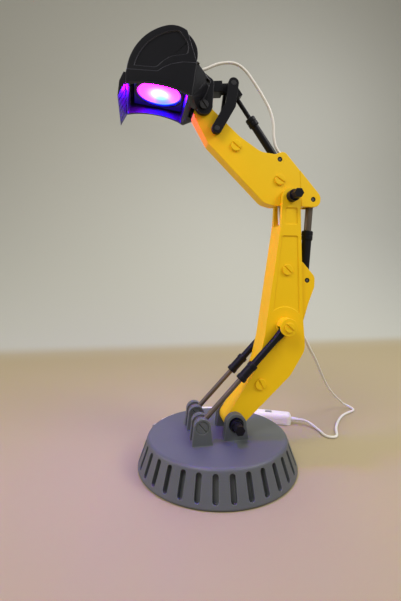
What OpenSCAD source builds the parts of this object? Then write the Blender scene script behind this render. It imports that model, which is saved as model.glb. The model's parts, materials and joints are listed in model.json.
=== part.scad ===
// Excavator table lamp: a round ribbed base carries a boom, a stick and a bucket
// that holds a round light; three sets of dummy cylinders follow the arm.
// Front is -X, the photographed side is -Y, +Z is up, and Z = 0 is the table.

/* [Base] */
// Radius of the base at the table
base_r = 80; // [72:0.5:90]
// Radius of the flat deck
deck_r = 69; // [64:0.5:70]
// Height of the deck above the table
base_h = 30; // [27:0.5:32]
// Thickness of the sloping side wall
base_wall = 8; // [7:0.5:9]
// Thickness of the deck
deck_t = 4; // [3:0.5:6]
// Rounding of the deck's rim
rim_round = 4; // [2:0.5:6]
// Number of grooves round the side wall
slot_count = 32; // [16:1:36]
// Width of one groove
slot_w = 5.2; // [3:0.2:6]
// Depth of one groove
slot_depth = 5; // [1:0.5:6]
// Thickness of the bottom cover
cover_t = 2.5; // [2:0.5:4]
// Thickness of the grip pad under the cover
pad_t = 1.2; // [0.8:0.2:2]
// Thickness of each ear that carries the boom
ear_t = 8.6; // [7:0.2:11]
// Radius of the round top of an ear
ear_r = 10.4; // [9.4:0.2:12]
// Thickness of each cheek of a rod clevis
clevis_t = 6.4; // [5:0.2:8]
// Radius of the round top of a rod clevis
clevis_r = 8.2; // [7.6:0.2:9]

/* [Boom] */
// Width of the boom across its two halves
boom_w = 26; // [24:0.5:30]
// Gap between the two ears of the fork
fork_gap = 16.4; // [16:0.2:18]
// Depth of the sunk panel on each side
panel_depth = 1; // [0.4:0.2:2]
// Radius of the boss over a barrel eye
boss_r = 9; // [8:0.5:11]
// Thickness of the boss's outer cheek
boss_cheek = 2.4; // [1.6:0.2:4]
// Outer width of the lug behind the boom
lug_w = 18; // [16:0.5:22]

/* [Stick] */
// Width of the stick across its two halves
stick_w = 14.8; // [14:0.2:15]
// Step of the tail cheeks over the stick's side
tail_step = 0.5; // [0.2:0.1:0.6]
// Thickness of each rocker
rocker_t = 4.8; // [3.6:0.2:6]
// Width of each rocker
rocker_w = 10.5; // [9:0.5:12]
// Width of the link between rockers and bucket
link_w = 14; // [12:0.2:14.6]
// Height of the link
link_h = 11; // [10:0.5:12]

/* [Bucket] */
// Width of the bucket
bucket_w = 64; // [60:0.5:74]
// Wall of the bucket
bucket_wall = 3; // [2:0.2:4]
// Depth of the sunk side panel
bucket_panel = 1.2; // [0.6:0.2:1.6]
// Width of the band round the curved edge
bucket_band = 6; // [4:0.5:8]
// Thickness of each hinge ear
bucket_ear_t = 4.8; // [4:0.2:7]
// Number of teeth on the lip
tooth_count = 6; // [4:1:8]
// Depth of the grooves between the teeth
tooth_groove = 1.6; // [0.8:0.2:2.4]

/* [Light] */
// Outer radius of the light's cup
lamp_r = 23.6; // [20:0.2:23.8]
// Depth of the light's cup
lamp_h = 6.4; // [6:0.2:7]
// Wall of the light's cup
lamp_wall = 1.5; // [1:0.1:2]
// Thickness of the plate that holds the light
plate_t = 3; // [2:0.5:4]

/* [Cylinders] */
// Radius of the boom cylinders' barrels
boom_barrel_r = 3.6; // [3.4:0.1:4.4]
// Radius of the boom cylinders' rods
boom_rod_r = 2.5; // [2:0.1:2.6]
// Radius of the boom cylinders' collars
boom_gland_r = 5.2; // [4.4:0.1:5.4]
// Thickness of the boom cylinders' eyes
boom_eye_t = 6.6; // [5.6:0.2:7.4]
// Radius of the stick cylinder's barrel
stick_barrel_r = 5; // [4.8:0.1:5.4]
// Radius of the stick cylinder's rod
stick_rod_r = 3.9; // [3:0.1:3.9]
// Radius of the stick cylinder's collar
stick_gland_r = 6; // [5.8:0.1:6.6]
// Radius of the bucket cylinder's barrel
bucket_barrel_r = 4; // [3.6:0.1:4.2]
// Radius of the bucket cylinder's rod
bucket_rod_r = 2.3; // [1.8:0.1:2.6]
// Radius of the bucket cylinder's collar
bucket_gland_r = 5.3; // [4.8:0.1:6]

/* [Pins and fits] */
// Radius of the two large pivot bolts
bolt_r = 4; // [3:0.1:4.4]
// Radius of the small pins and screws
pin_r = 2.5; // [2:0.1:2.6]
// Radial running fit of pins in their bores
fit = 0.05; // [0.03:0.01:0.08]
// Gap between faces that turn beside each other
side_gap = 0.4; // [0.3:0.05:0.5]
// Radius of the slotted yellow screw heads
head_r = 5.6; // [4.6:0.2:6.4]
// Height of the slotted screw heads
head_h = 1.8; // [1:0.1:2.2]
// Width of a screw slot
slot_line = 1.5; // [0.8:0.1:1.8]

/* [Cord] */
// Diameter of the cord
cord_d = 3; // [2.4:0.1:3.2]
// Length of the inline switch
switch_l = 58; // [52:1:62]
// Width of the inline switch
switch_w = 18; // [15:0.5:20]
// Height of the inline switch
switch_h = 13; // [11:0.5:15]
// Number of loops in each layer of the coil
coil_loops = 3; // [2:1:3]
// Inner radius of the coil, at the cord's middle
coil_r = 11.6; // [11:0.2:13]
// Step between neighbouring turns of the coil
coil_step = 3.6; // [3.5:0.05:4]

/* [Hidden] */
$fn = 48;

// Pivots of the arm, as X and Z
boom_foot = [14.5, 45];
rod_foot = [-20, 47];
barrel_top = [68.5, 139];
stick_cyl_low = [95, 186];
stick_pivot = [76, 272.5];
stick_tail = [102.5, 271.5];
bucket_cyl_low = [65.5, 312];
rocker_low = [-2.5, 337.5];
rocker_bend = [11.5, 362];
rocker_top = [14.5, 384];
bucket_pivot = [-16, 359];
bucket_link_pin = [-12.5, 380.5];

// Heights and radii inside the base
rim_z = 0.8;
cover_z = pad_t;
cavity_top = base_h - deck_t;
slope = atan((base_r - deck_r) / base_h);
side = base_wall / cos(slope);
cover_r = base_r - side - (base_r - deck_r) * (cover_z + cover_t) / cavity_top - 0.3;
pad_r = cover_r - 2;
cover_screw_at = 52;
cover_screw_r = 1.5;
cover_head_r = 3;
bolt_seat_r = 7;
bolt_sink = 4;
slot_start = 0.8;

// Positions across the arm
boom_half = boom_w / 2;
stick_half = stick_w / 2;
ear_in = boom_half + side_gap;
ear_out = ear_in + ear_t;
cyl_y = boom_half + side_gap + 1 + boom_eye_t / 2;
eye_slot = boom_eye_t / 2 + side_gap;
boss_out = cyl_y + eye_slot + boss_cheek;
clevis_in = cyl_y - eye_slot - clevis_t;
clevis_out = cyl_y + eye_slot + clevis_t;
fork_half = fork_gap / 2;
rocker_in = stick_half + side_gap + 0.4;
rocker_out = rocker_in + rocker_t;
hinge_in = stick_half + side_gap + 0.4;
hinge_out = hinge_in + bucket_ear_t;
bucket_half = bucket_w / 2;

// Cylinders: distances along each axis from its lower or upper eye
boom_cyl_l = norm(rod_foot - barrel_top);
boom_gland_at = 50;
boom_gland_l = 21;
boom_rod_in = 30;
stick_cyl_l = norm(stick_tail - stick_cyl_low);
stick_gland_at = 43;
stick_gland_l = 10;
stick_rod_in = 26;
bucket_cyl_l = norm(rocker_top - bucket_cyl_low);
bucket_gland_at = 43;
bucket_gland_l = 10;
bucket_rod_in = 24;
bore_bottom = 14;
bore_gap = 0.2;

// Eyes, clearances round them and the slack of the pivots that follow by gearing
foot_r = 9;
strip_step = 0.3;
barrel_eye_r = 6;
rod_eye_r = 6.8;
lug_clear = 7.4;
tail_half = stick_rod_r + side_gap;
tail_eye_r = 6;
tail_clear = 9.4;
tail_slack = 0.5;
tail_play = 1.6;
bucket_eye_r = 5;
hinge_r = 3;
hinge_head_r = 4.4;
link_l = norm(bucket_link_pin - rocker_top);
tongue_half = 2.6;
fork_inner = tongue_half + side_gap;
fork_eye_r = 4.7;
rod_slack = 0.95;
open_gap = 1.6;

// Outlines of the arm, as corners [x, z] or [x, z, rounding]
boom_edge = [[74.5, 88, 22], [91, 114, 20], [88.4, 150, 30], [85.6, 281.5, 9.4], [66.6, 281.5, 9.4],
    [64.6, 246, 30], [46.4, 128, 60], [39, 98, 60]];
boom_panel_edge = [[55.5, 150, 3], [84.8, 150, 3], [83, 232, 2.5], [65.5, 232, 2.5]];
fork_panel_edge = [[68.2, 244, 2], [82.6, 244, 2], [82.4, 261, 2], [69.4, 261, 2]];
fork_cut = [[50, 243], [100, 243], [100, 300], [50, 300]];
boss_border = 20;
lug_edge = [[86, 206, 0], [89.5, 206, 6], [103.6, 190, 8.5], [103.2, 179, 8.5], [96.5, 162, 20],
    [88, 136, 0], [84, 136, 0]];
stick_edge = [[-26.5, 352, 6], [-10.5, 323.5, 4], [48, 266, 14], [58, 263.5, 10], [110.5, 263.5, 7.5],
    [111, 275.5, 8], [70.5, 321, 6.5], [60.5, 317, 6], [45, 318.5, 20], [22, 333, 30], [-5, 357, 8],
    [-17, 369.5, 7]];
tail_edge = [[89.5, 250], [130, 250], [130, 310], [87.5, 310]];

// Screws that join the halves of the arm
screw_r = pin_r - 0.5;
boom_screw_turn = [45, 62];
stick_screw_turn = [38, 32];
boom_screw_l = 20;
barrel_pin_in = 8;
boom_screw_at = [[71.5, 197], [42.2, 81]];
stick_screw_at = [[18.1, 322.9], [65.1, 290.6]];

// Bucket outline: a front arc, a smaller rear lobe and a hollow mouth edge
bucket_arc_at = [-37.4, 369.6];
bucket_arc_r = 53.2;
lobe_r = 22.6;
lobe_dir = [cos(108.3), sin(108.3)];
lobe_at = bucket_arc_at + (bucket_arc_r - lobe_r) * lobe_dir;
lobe_front = bucket_arc_at.x + bucket_arc_r * lobe_dir.x;
rear_high = [-34.8, 417.4];
rear_low = [-26.1, 389.6];
rear_step = 4;
rear_wall = -31;
nose_clear = 10.6;
ear_pivot_r = 9;
ear_link_r = 7;
ear_web_high = [-12.5, 18];
ear_web_low = [-14, 16];
mouth_at = [-71, 273];
mouth_r = 92.6;
mouth_tilt = 6.3;
back_edge = [[-26, 392], [-16, 377], [-17, 362], [-31.5, 356]];
side_panel_edge = [[-92, 380.5, 0], [-63.5, 381, 6], [-57, 387.8, 10], [-50, 392.4, 10], [-34.4, 396.2, 3],
    [-33.4, 406, 12], [-43.5, 417.8, 4], [-60, 440, 0], [-120, 440, 0]];
band_edge = [[-110, 375.6], [-62.5, 377], [-57, 381.2], [-50, 384.8], [-40, 387.6], [-20, 388.6],
    [-10, 440], [-110, 440]];
ear_root = [[-34, 357.5], [rear_wall, 356.5], rear_low, [-34, 391]];
ear_tip = [[-30, 357], [-22, 353.5], [-13, 372], [-9, 383], [-24, 398], [-32, 398]];
rear_cut_at = 340;
rear_cut = [40, 48];
web_cut = [40, 30];
back_cut_at = 330;
back_cut = [60, 62];
lip_low = [-91, 364];
lip_high = [-90.9, 373];
lip_top = [-89.1, 382];
lip_edge = 0.6;
lip_tip = [-98, 351];
lamp_at = [-59, 0, 372.4];
plate_front = -24.8;
plate_rear = 24.6;
flange_t = 1.2;
board_t = 1.6;

// Switch and plug on the table
switch_at = [89.1, 88.4, 0];
switch_turn = 154.5;
switch_split = 6;
relief_l = 9;
button_l = 8;
button_w = 4.6;
button_rise = 0.8;
plug_at = [-23, 113, 4.1];
plug_turn = 220;
plug_l = 24;
plug_w = 15;
plug_t = 8;
usb_l = 16;
usb_w = 12;
usb_t = 4.5;
switch_dir = [cos(switch_turn), sin(switch_turn), 0];
switch_reach = (switch_l / 2 + relief_l) * switch_dir;
switch_start = switch_at + [0, 0, switch_split] - switch_reach;
switch_end = switch_at + [0, 0, switch_split] + switch_reach;
plug_dir = [cos(plug_turn), sin(plug_turn), 0];

// Cord: radius, height on the table and routes chosen by hand
cord_r = cord_d / 2;
cord_z = cord_r + 0.1;
channel_r = cord_r + 0.6;
cord_end_gap = 0.2;
loop_route = [[-24.2, 0, 397], [-12, 0, 402], [0, 0, 408], [12, 0, 411], [22, 0, 410], [31, 0, 404],
    [40, 0, 393], [49, 0, 380], [57, 0, 366], [61, 0, 352], [61.5, 0, 338], [64, 0, 327], [69, 0, 320],
    [73.2, 0, 315.5]];
stick_run = [[75, 0, 313.5], [78, 0, 304], [74, 0, 290], [68.5, 0, 278], [67.5, 0, 263.3]];
stick_run_end = stick_run[len(stick_run) - 1];
mouth_half = 4;
mouth_low = 6;
mouth_high = 2;
boom_run = [[67.6, 0, 263], [68.4, 0, 246], [73, 0, 226], [79, 0, 198], [80, 0, 168], [83, 0, 144],
    [87.5, 0, 135.5]];
drop_route = [[90, 0, 133.6], [96, 1.5, 126], [104, 5.5, 113.5], [115.9, 14, 98], [127.7, 25.5, 82.4],
    [142.5, 41, 64], [157.7, 57, 48.6], [174.6, 74, 34], [189, 88.6, 23.4], [199.4, 100, 16.2],
    [204.2, 105.4, 12.6], [208.7, 109.9, 9.2], [213.4, 112.3, 6.2], [218.4, 111.2, 3.8], [221.4, 107, 2.4],
    [221, 101.9, 1.7], [217.6, 98.2, 1.6], [212.4, 95.6, 1.6], [205, 91.9, 1.6], [195.3, 86, 1.6],
    [185.5, 77.4, 1.6], [177.7, 68.8, 1.6], [170.6, 60, 1.6], [164.4, 51.4, 1.6], [159.4, 42.9, 1.6],
    [156.3, 36.9, 1.6], [153.1, 31.2, 1.6], [149.4, 27.6, 1.6], [144.3, 27, 1.6], [140.1, 29.9, 1.6],
    [138.5, 34.9, 1.6], [138.7, 41.2, 1.6], [138.9, 47.6, 1.6], [138.4, 53.8, 1.9], [136.8, 59.8, 3],
    [134, 65.2, 4.4]];
coil_at = [14, 110];
coil_turn = 75;
coil_low = cord_z;
coil_high = cord_z + coil_step;
coil_turns = 2 * coil_loops + 1;

// Vector helpers
function unit(v) = v / norm(v);
function heading(a, b) = atan2(b.y - a.y, b.x - a.x);
function flat(p) = [p[0], p[1]];

// Arc that replaces the corner at p between a and b
function corner(a, p, b, r, n = 8) = r == 0 ? [p] :
    let (u = unit(a - p), v = unit(b - p), half = acos(u * v) / 2, c = p + unit(u + v) * r / sin(half),
        s = heading(c, p + u * r / tan(half)), e = heading(c, p + v * r / tan(half)),
        d = e - s > 180 ? e - s - 360 : e - s < -180 ? e - s + 360 : e - s)
    [for (i = [0 : n]) c + r * [cos(s + d * i / n), sin(s + d * i / n)]];

// Outline whose corners [x, z, radius] are rounded
function rounded(pts) = let (n = len(pts))
    [for (i = [0 : n - 1])
        each corner(flat(pts[(i + n - 1) % n]), flat(pts[i]), flat(pts[(i + 1) % n]), pts[i][2])];

// Curve through hand-chosen points, with k steps in each span
function spline(pts, k) = let (n = len(pts))
    [for (i = [0 : n - 2]) for (j = [0 : k - 1])
        let (t = j / k, a = pts[max(i - 1, 0)], b = pts[i], c = pts[i + 1], d = pts[min(i + 2, n - 1)])
        b + (c - a) * t / 2 + (2 * a - 5 * b + 4 * c - d) * t * t / 2
            + (3 * b - a - 3 * c + d) * t * t * t / 2,
    pts[n - 1]];

// Round tube swept along a path, with its rings square to the path
function path_dir(p, i) = let (n = len(p))
    i == 0 ? unit(p[1] - p[0]) : i == n - 1 ? unit(p[n - 1] - p[n - 2])
    : unit(unit(p[i + 1] - p[i]) + unit(p[i] - p[i - 1]));
module tube(path, r, sides, ref) {
    n = len(path);
    rings = [for (i = [0 : n - 1])
        let (t = path_dir(path, i), s = unit(cross(t, ref)), u = cross(s, t))
        for (k = [0 : sides - 1])
            path[i] + r * (cos(360 * k / sides) * s + sin(360 * k / sides) * u)];
    walls = [for (i = [0 : n - 2]) for (k = [0 : sides - 1])
        let (a = i * sides + k, b = i * sides + (k + 1) % sides)
        each [[a, a + sides, b], [b, a + sides, b + sides]]];
    first = [for (k = [0 : sides - 1]) [n * sides, k, (k + 1) % sides]];
    last = [for (k = [0 : sides - 1])
        [n * sides + 1, (n - 1) * sides + (k + 1) % sides, (n - 1) * sides + k]];
    polyhedron(concat(rings, [path[0], path[n - 1]]), concat(walls, first, last));
}

// XZ outline drawn out between two Y planes
module slab(y0, y1) {
    translate([0, y1, 0])
        rotate([90, 0, 0])
            linear_extrude(height = y1 - y0)
                children();
}

// Round bar along Y between two planes
module bar_y(p, r, y0, y1, sides = 48) {
    translate([p.x, y1, p.y])
        rotate([90, 0, 0])
            cylinder(r = r, h = y1 - y0, $fn = sides);
}

// Disc and straight bar in the XZ outline plane
module spot(p, r) {
    translate(p) circle(r);
}
module strip(a, b, w) {
    translate(a)
        rotate(heading(a, b))
            translate([0, -w / 2])
                square([norm(b - a), w]);
}

// Things drawn along +X from point a towards point b, in the plane Y = y
module along(a, b, y) {
    translate([a.x, y, a.y])
        rotate([0, -heading(a, b), 0])
            children();
}
module rod_x(r, x0, x1) {
    translate([x0, 0, 0])
        rotate([0, 90, 0])
            cylinder(r = r, h = x1 - x0);
}

// Both sides of the arm
module both() {
    children();
    mirror([0, 1, 0]) children();
}

// Slotted screw whose head stands on the plane y towards -Y
module slotted_screw(p, r, y, head, depth, turn) {
    difference() {
        union() {
            bar_y(p, head, y - head_h, y);
            bar_y(p, r, y, y + depth);
        }
        translate([p.x, y - head_h, p.y])
            rotate([0, turn, 0])
                cube([3 * head, 1.4 * head_h, slot_line], center = true);
    }
}

// Groove for the cord in the inner face of a half, along the route's points
module channel(route) {
    mid = [for (p = route) [p.x, p.z]];
    n = len(mid);
    out = [for (i = [0 : n - 1]) let (d = path_dir(mid, i)) channel_r * [-d.y, d.x]];
    slab(-channel_r, 1)
        polygon(concat([for (i = [0 : n - 1]) mid[i] + out[i]],
            [for (i = [n - 1 : -1 : 0]) mid[i] - out[i]]));
}

// Base
module groove() {
    run = (base_h - rim_round) / cos(slope) - 5;
    translate([base_r, 0, 0])
        rotate([0, -slope, 0])
            translate([-slot_depth, 0, 0])
                rotate([90, 0, 90])
                    linear_extrude(height = 3 * slot_depth)
                        union() {
                            translate([0, 5 + slot_w / 2]) circle(d = slot_w);
                            translate([-slot_w / 2, 5 + slot_w / 2]) square([slot_w, run - slot_w]);
                            translate([0, 5 + run - slot_w / 2]) circle(d = slot_w);
                        }
}
module stand(p, r, spread) {
    spot(p, r);
    polygon([[p.x - r - spread, base_h - 1], [p.x + r + spread, base_h - 1],
        [p.x + r - 0.2, p.y], [p.x - r + 0.2, p.y]]);
}
module base_housing() {
    color("dimgray")
        difference() {
            union() {
                difference() {
                    rotate_extrude()
                        polygon(rounded([[0, rim_z, 0], [base_r, rim_z, 0.6], [base_r, 2.4, 0.6],
                            [deck_r + 1, base_h, rim_round], [0, base_h, 0]]));
                    rotate_extrude()
                        polygon([[0, 0], [base_r - side, 0], [deck_r - side, cavity_top], [0, cavity_top]]);
                    for (i = [0 : slot_count - 1])
                        rotate([0, 0, (i + slot_start) * 360 / slot_count]) groove();
                }
                both() slab(ear_in, ear_out) stand(boom_foot, ear_r, 2);
                both() {
                    slab(clevis_in, clevis_in + clevis_t) stand(rod_foot, clevis_r, 2);
                    slab(clevis_out - clevis_t, clevis_out) stand(rod_foot, clevis_r, 2);
                }
                for (i = [0 : 3])
                    rotate([0, 0, 45 + 90 * i])
                        translate([cover_screw_at, 0, cover_z + cover_t])
                            cylinder(r = 4, h = cavity_top - cover_z - cover_t + 1);
            }
            bar_y(boom_foot, bolt_r + fit, -ear_out - 1, ear_out + 1);
            bar_y(boom_foot, bolt_seat_r + side_gap, -ear_out - 1, -ear_out + bolt_sink);
            bar_y(rod_foot, pin_r + fit, -clevis_out - 1, clevis_out + 1);
            for (y = [-clevis_out - 1, clevis_in - 1])
                bar_y(rod_foot, head_r + side_gap, y, y + 1 + head_h + 0.6);
            for (i = [0 : 3])
                rotate([0, 0, 45 + 90 * i])
                    translate([cover_screw_at, 0, cover_z])
                        cylinder(r = cover_screw_r + fit, h = 12);
        }
}
module base_cover() {
    color("dimgray")
        difference() {
            translate([0, 0, cover_z]) cylinder(r = cover_r, h = cover_t, $fn = 96);
            for (i = [0 : 3])
                rotate([0, 0, 45 + 90 * i])
                    translate([cover_screw_at, 0, 0]) {
                        cylinder(r = cover_screw_r + fit, h = 20);
                        translate([0, 0, cover_z - 1]) cylinder(r = cover_head_r + 0.2, h = 2.2);
                    }
        }
}
module grip_pad() {
    color("black") cylinder(r = pad_r, h = pad_t, $fn = 96);
}
module cover_screws() {
    color("silver")
        for (i = [0 : 3])
            rotate([0, 0, 45 + 90 * i])
                translate([cover_screw_at, 0, cover_z + 0.1]) {
                    cylinder(r = cover_head_r, h = 1.1);
                    cylinder(r = cover_screw_r, h = 11);
                }
}

// Large pivot bolt: round flange, six-sided grip, plain shaft and nut
module big_bolt(p, y_seat, y_end) {
    bar_y(p, bolt_r, y_seat, y_end);
    bar_y(p, bolt_seat_r - 1, y_seat - 8, y_seat);
    bar_y(p, bolt_seat_r - 2, y_seat - 18, y_seat - 8, 6);
}
module big_nut(p, y) {
    difference() {
        bar_y(p, bolt_seat_r + 1, y, y + 6, 6);
        bar_y(p, bolt_r + fit, y - 1, y + 7);
    }
}
module boom_pivot_bolt() {
    color([0.09, 0.09, 0.1]) big_bolt(boom_foot, -ear_out + bolt_sink, ear_out + 7);
}
module boom_pivot_nut() {
    color([0.09, 0.09, 0.1]) big_nut(boom_foot, ear_out);
}
module rod_pin_screws() {
    color("dimgray")
        for (y = [-clevis_out, clevis_in])
            slotted_screw(rod_foot, pin_r, y + head_h + 0.6, head_r, 2 * clevis_t + 2 * eye_slot - 3, 50);
}

// Boom: outline, sunk panels and one half
module boom_outline() {
    foot = [for (i = [0 : 12]) boom_foot + foot_r * [cos(146 + 14 * i), sin(146 + 14 * i)]];
    polygon(concat([for (i = [1 : 11]) foot[i]],
        rounded(concat([concat(foot[12], 0)], boom_edge, [concat(foot[0], 0)]))));
}
module boom_panel() {
    difference() {
        polygon(rounded(boom_panel_edge));
        spot(barrel_top, boss_border);
    }
    polygon(rounded(fork_panel_edge));
}
module boom_half() {
    difference() {
        union() {
            slab(-boom_half, 0) boom_outline();
            slab(-lug_w / 2, 0) polygon(rounded(lug_edge));
            slab(-boss_out, -boom_half + 1) spot(barrel_top, boss_r);
        }
        slab(-boom_half - 1, -boom_half + panel_depth) boom_panel();
        slab(-fork_half, 1) polygon(fork_cut);
        slab(-stick_barrel_r - side_gap, 1) {
            spot(stick_cyl_low, lug_clear);
            strip(stick_cyl_low, stick_cyl_low + [0, 40], 2 * lug_clear - strip_step);
            strip(stick_cyl_low, stick_cyl_low + [40, 0], 2 * lug_clear - strip_step);
        }
        slab(-cyl_y - eye_slot, -cyl_y + eye_slot) {
            spot(barrel_top, barrel_eye_r + 1);
            strip(barrel_top, rod_foot, 2 * barrel_eye_r + 2 - strip_step);
        }
        bar_y(barrel_top, pin_r + fit, -boss_out - 1, -boom_half + barrel_pin_in + 1);
        bar_y(boom_foot, bolt_r + fit, -boom_half - 1, 1);
        bar_y(stick_pivot, bolt_r + fit, -boom_half - 1, 1);
        bar_y(stick_cyl_low, pin_r + fit, -boom_half - 1, 1);
        for (p = boom_screw_at)
            bar_y(p, screw_r + fit, -boom_half - 1, 1);
        channel(concat([for (i = [1 : len(boom_run) - 1]) boom_run[i]], [drop_route[0], drop_route[1]]));
    }
}
module boom_near() {
    color("gold") boom_half();
}
module boom_far() {
    color("gold") mirror([0, 1, 0]) boom_half();
}
module boom_screws() {
    seat = [-boom_half + panel_depth, -boom_half];
    color("goldenrod")
        for (i = [0, 1])
            slotted_screw(boom_screw_at[i], screw_r, seat[i], head_r, boom_screw_l, boom_screw_turn[i]);
}
module barrel_pin_screws() {
    color("goldenrod")
        both()
            slotted_screw(barrel_top, pin_r, -boss_out, head_r - 0.6,
                boss_out - boom_half + barrel_pin_in, 40);
}
module boom_lug_pin() {
    color([0.16, 0.16, 0.17]) bar_y(stick_cyl_low, pin_r, -lug_w / 2, lug_w / 2);
}
module stick_pivot_bolt() {
    color([0.09, 0.09, 0.1]) big_bolt(stick_pivot, -boom_half, boom_half + 7);
}
module stick_pivot_nut() {
    color([0.09, 0.09, 0.1]) big_nut(stick_pivot, boom_half);
}

// Boom cylinders: barrel on the boom, rod on the base
module boom_barrel(y) {
    along(barrel_top, rod_foot, y)
        difference() {
            union() {
                rotate([90, 0, 0]) cylinder(r = barrel_eye_r, h = boom_eye_t, center = true);
                rod_x(boom_barrel_r, 2, boom_gland_at);
                translate([3, 0, 0])
                    rotate([0, 90, 0])
                        cylinder(r1 = boom_barrel_r + 1.2, r2 = boom_barrel_r, h = 16);
            }
            rod_x(boom_rod_r + bore_gap, bore_bottom, boom_gland_at + 1);
            rotate([90, 0, 0]) cylinder(r = pin_r + fit, h = 2 * boom_eye_t, center = true);
            for (s = [-1, 1])
                translate([0, s * boom_eye_t, 0])
                    cube([40, boom_eye_t, 20], center = true);
        }
}
module gland(a, b, y, r, bore, at, l) {
    along(a, b, y)
        difference() {
            union() {
                rod_x(r - 0.5, at, at + l);
                rod_x(r, at + 0.6, at + 4.6);
                rod_x(r, at + l - 4.6, at + l - 0.6);
            }
            rod_x(bore, at - 1, at + l + 1);
        }
}
module boom_rod(y) {
    along(barrel_top, rod_foot, y)
        difference() {
            union() {
                rod_x(boom_rod_r, boom_rod_in, boom_cyl_l - 4);
                translate([boom_cyl_l, 0, 0])
                    rotate([90, 0, 0])
                        cylinder(r = rod_eye_r, h = boom_eye_t, center = true);
            }
            translate([boom_cyl_l, 0, 0])
                rotate([90, 0, 0])
                    cylinder(r = pin_r + open_gap, h = 2 * boom_eye_t, center = true);
        }
}
module boom_barrel_near() {
    color([0.13, 0.13, 0.15]) boom_barrel(-cyl_y);
}
module boom_barrel_far() {
    color([0.13, 0.13, 0.15]) boom_barrel(cyl_y);
}
module boom_gland_near() {
    color([0.13, 0.13, 0.15])
        gland(barrel_top, rod_foot, -cyl_y, boom_gland_r, boom_rod_r + fit, boom_gland_at, boom_gland_l);
}
module boom_gland_far() {
    color([0.13, 0.13, 0.15])
        gland(barrel_top, rod_foot, cyl_y, boom_gland_r, boom_rod_r + fit, boom_gland_at, boom_gland_l);
}
module boom_rod_near() {
    color("dimgray") boom_rod(-cyl_y);
}
module boom_rod_far() {
    color("dimgray") boom_rod(cyl_y);
}

// Stick cylinder: barrel on the boom's lug, rod in the stick's tail
module stick_barrel() {
    color([0.13, 0.13, 0.15])
        along(stick_cyl_low, stick_tail, 0)
            difference() {
                union() {
                    rotate([90, 0, 0])
                        cylinder(r = stick_barrel_r + 0.8, h = 2 * stick_barrel_r, center = true);
                    rod_x(stick_barrel_r, 2, stick_gland_at);
                }
                rod_x(stick_rod_r + bore_gap, bore_bottom, stick_gland_at + 1);
                rotate([90, 0, 0]) cylinder(r = pin_r + fit, h = 4 * stick_barrel_r, center = true);
            }
}
module stick_gland() {
    color([0.13, 0.13, 0.15])
        gland(stick_cyl_low, stick_tail, 0, stick_gland_r, stick_rod_r + fit, stick_gland_at, stick_gland_l);
}
module stick_rod() {
    color("gray")
        along(stick_cyl_low, stick_tail, 0)
            difference() {
                union() {
                    rod_x(stick_rod_r, stick_rod_in, stick_cyl_l - 3);
                    translate([stick_cyl_l, 0, 0])
                        rotate([90, 0, 0])
                            cylinder(r = tail_eye_r, h = 2 * stick_rod_r, center = true);
                }
                for (s = [0, 1])
                    translate([stick_cyl_l, 0, tail_play * s])
                        rotate([90, 0, 0])
                            cylinder(r = pin_r + tail_slack, h = 4 * stick_rod_r, center = true);
                translate([stick_cyl_l, 0, tail_play / 2])
                    cube([2 * (pin_r + tail_slack), 4 * stick_rod_r, tail_play], center = true);
            }
}

// Stick: outline, clevis slots and one half
module stick_outline() {
    polygon(rounded(stick_edge));
}
module stick_half_solid() {
    difference() {
        union() {
            slab(-stick_half, 0) stick_outline();
            slab(-stick_half - tail_step, 0)
                intersection() {
                    stick_outline();
                    polygon(tail_edge);
                }
        }
        slab(-tail_half, 1) {
            spot(stick_tail, tail_clear);
            translate([stick_tail.x - tail_clear, stick_tail.y - 30]) square([60, 30]);
        }
        slab(-bucket_barrel_r - side_gap, 1) {
            spot(bucket_cyl_low, bucket_eye_r + 0.8);
            strip(bucket_cyl_low, rocker_top, 2 * bucket_eye_r + 1.6);
        }
        bar_y(stick_pivot, bolt_r + fit, -stick_w, 1);
        bar_y(stick_tail, pin_r + fit, -stick_w, 1);
        bar_y(bucket_cyl_low, pin_r + fit, -stick_w, 1);
        bar_y(rocker_low, pin_r + fit, -stick_w, 1);
        bar_y(bucket_pivot, hinge_r + fit, -stick_w, 1);
        for (p = stick_screw_at)
            bar_y(p, screw_r + fit, -stick_w, 1);
        channel(concat([loop_route[len(loop_route) - 2], loop_route[len(loop_route) - 1]], stick_run));
        slab(-mouth_half, 1)
            translate([stick_run_end.x, stick_run_end.z])
                polygon([[-mouth_low, -mouth_half], [mouth_low, -mouth_half], [mouth_high, mouth_half + 1],
                    [-mouth_high, mouth_half + 1]]);
    }
}
module stick_near() {
    color("gold") stick_half_solid();
}
module stick_far() {
    color("gold") mirror([0, 1, 0]) stick_half_solid();
}
module stick_screws() {
    color("goldenrod")
        for (i = [0, 1])
            slotted_screw(stick_screw_at[i], screw_r, -stick_half, head_r, 2 * stick_half - 2,
                stick_screw_turn[i]);
}
module stick_tail_pin() {
    color([0.16, 0.16, 0.17])
        bar_y(stick_tail, pin_r, -stick_half - tail_step, stick_half + tail_step);
}
module bucket_barrel_pin() {
    color([0.16, 0.16, 0.17]) bar_y(bucket_cyl_low, pin_r, -stick_half, stick_half);
}
module rocker_pin() {
    color([0.13, 0.13, 0.15]) bar_y(rocker_low, pin_r, -rocker_out, rocker_out);
}
module bucket_pin() {
    color([0.13, 0.13, 0.15])
        slotted_screw(bucket_pivot, hinge_r, -hinge_out, hinge_head_r, 2 * hinge_out, 55);
}

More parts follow.
